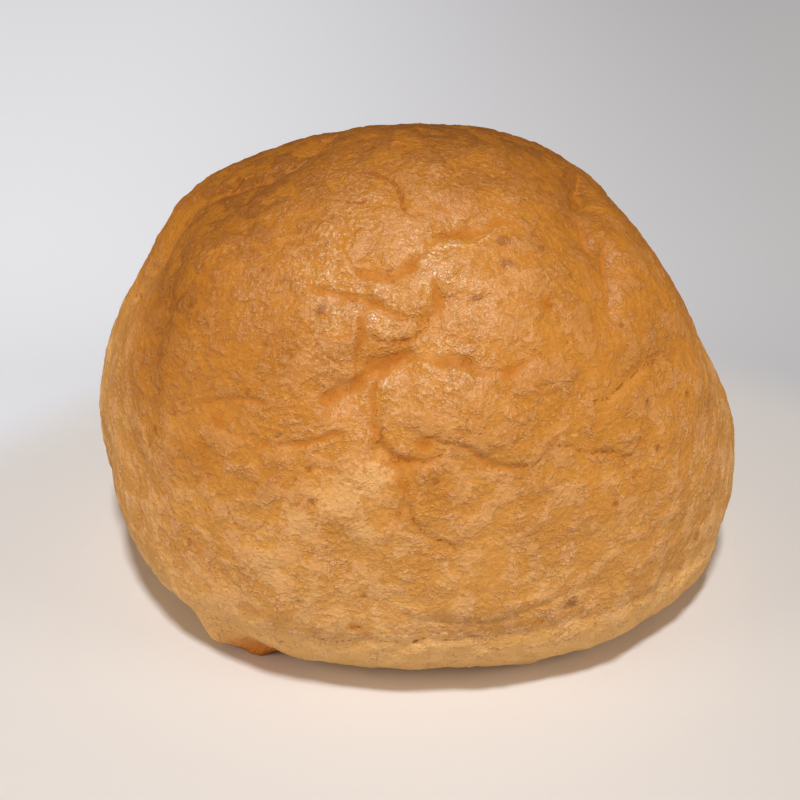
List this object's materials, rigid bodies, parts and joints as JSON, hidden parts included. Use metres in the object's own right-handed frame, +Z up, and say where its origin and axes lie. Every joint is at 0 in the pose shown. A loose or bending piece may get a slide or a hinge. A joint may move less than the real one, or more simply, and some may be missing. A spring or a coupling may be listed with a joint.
{
  "type": "cream puff",
  "caption": "Uncut baked choux puff: a lopsided golden brown dome with soft lobes, torn folds and crinkled crust, resting on its flat base.",
  "frame": {"origin": "middle of the puff's box at the plane that the puff rests on", "axes": "+X to the puff's right, along its widest extent, -Y towards the front with the raised crust plate, +Z up from the flat base to the crown"},
  "size_m": [0.0944, 0.0844, 0.0643],
  "materials": {
    "baked_crust": "matte golden brown choux crust, crinkled, with smoother amber stretches in the folds"
  },
  "bodies": {
    "root": {"choux_puff": "baked_crust"}
  },
  "joints": []
}
